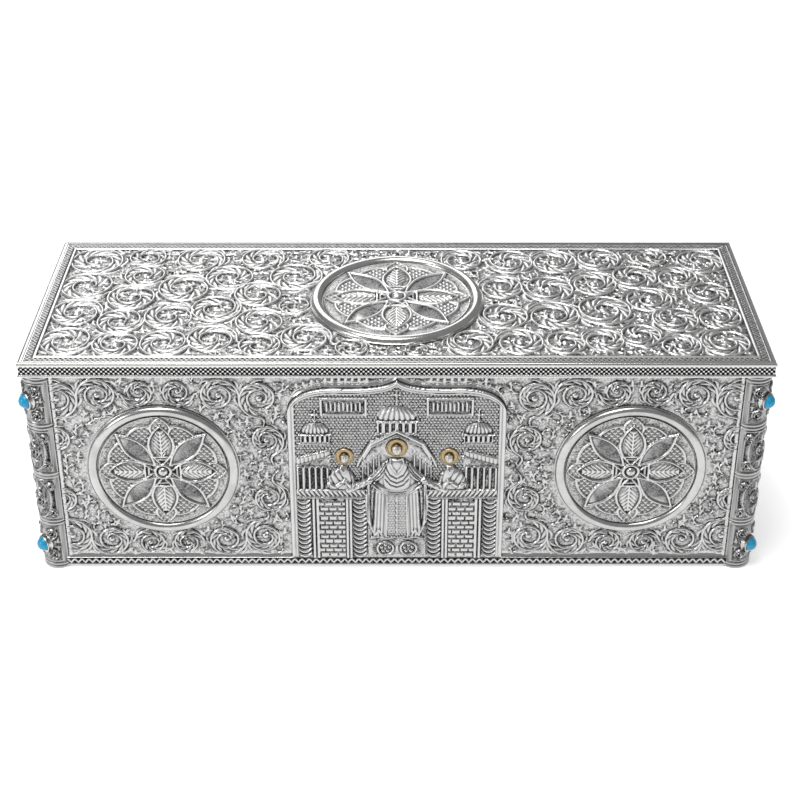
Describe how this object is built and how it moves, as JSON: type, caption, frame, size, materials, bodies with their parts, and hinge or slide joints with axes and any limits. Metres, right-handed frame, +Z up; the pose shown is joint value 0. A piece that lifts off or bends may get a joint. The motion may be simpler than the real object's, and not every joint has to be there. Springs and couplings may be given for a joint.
{
  "type": "reliquary",
  "caption": "Long chased silver casket with a flat lift-off lid, round corner columns, rosette medallions and a relief plaque.",
  "frame": {"origin": "middle of the footprint, at the feet of the corner columns", "axes": "+X to the right along the long front, +Y from the front to the back, +Z up"},
  "size_m": [0.3652, 0.1292, 0.1265],
  "materials": {
    "silver": "chased, oxidised in the recesses, polished on the high points",
    "gilt": "gilded",
    "turquoise": "polished stone"
  },
  "bodies": {
    "root": {"floor_plate": "silver", "front_panel": "silver", "front_base_strip": "silver", "lid_rim_front": "silver", "right_panel": "silver", "right_base_strip": "silver", "lid_rim_right": "silver", "back_panel": "silver", "back_base_strip": "silver", "lid_rim_back": "silver", "left_panel": "silver", "left_base_strip": "silver", "lid_rim_left": "silver", "column_front_left": "silver", "bezel_front_left_lower": "silver", "turquoise_front_left_lower": "turquoise", "bezel_front_left_upper": "silver", "turquoise_front_left_upper": "turquoise", "column_front_right": "silver", "bezel_front_right_lower": "silver", "turquoise_front_right_lower": "turquoise", "bezel_front_right_upper": "silver", "turquoise_front_right_upper": "turquoise", "column_back_right": "silver", "bezel_back_right_lower": "silver", "turquoise_back_right_lower": "turquoise", "bezel_back_right_upper": "silver", "turquoise_back_right_upper": "turquoise", "column_back_left": "silver", "bezel_back_left_lower": "silver", "turquoise_back_left_lower": "turquoise", "bezel_back_left_upper": "silver", "turquoise_back_left_upper": "turquoise", "medallion_ring_front_left": "silver", "rosette_front_left": "silver", "medallion_ring_front_right": "silver", "rosette_front_right": "silver", "medallion_ring_right": "silver", "rosette_right": "silver", "medallion_ring_back": "silver", "rosette_back": "silver", "medallion_ring_left": "silver", "rosette_left": "silver", "medallion_ring_lid": "silver", "rosette_lid": "silver", "icon_plaque": "silver", "halo_centre": "gilt", "halo_left": "gilt", "halo_right": "gilt", "lid_top": "silver"}
  },
  "joints": []
}
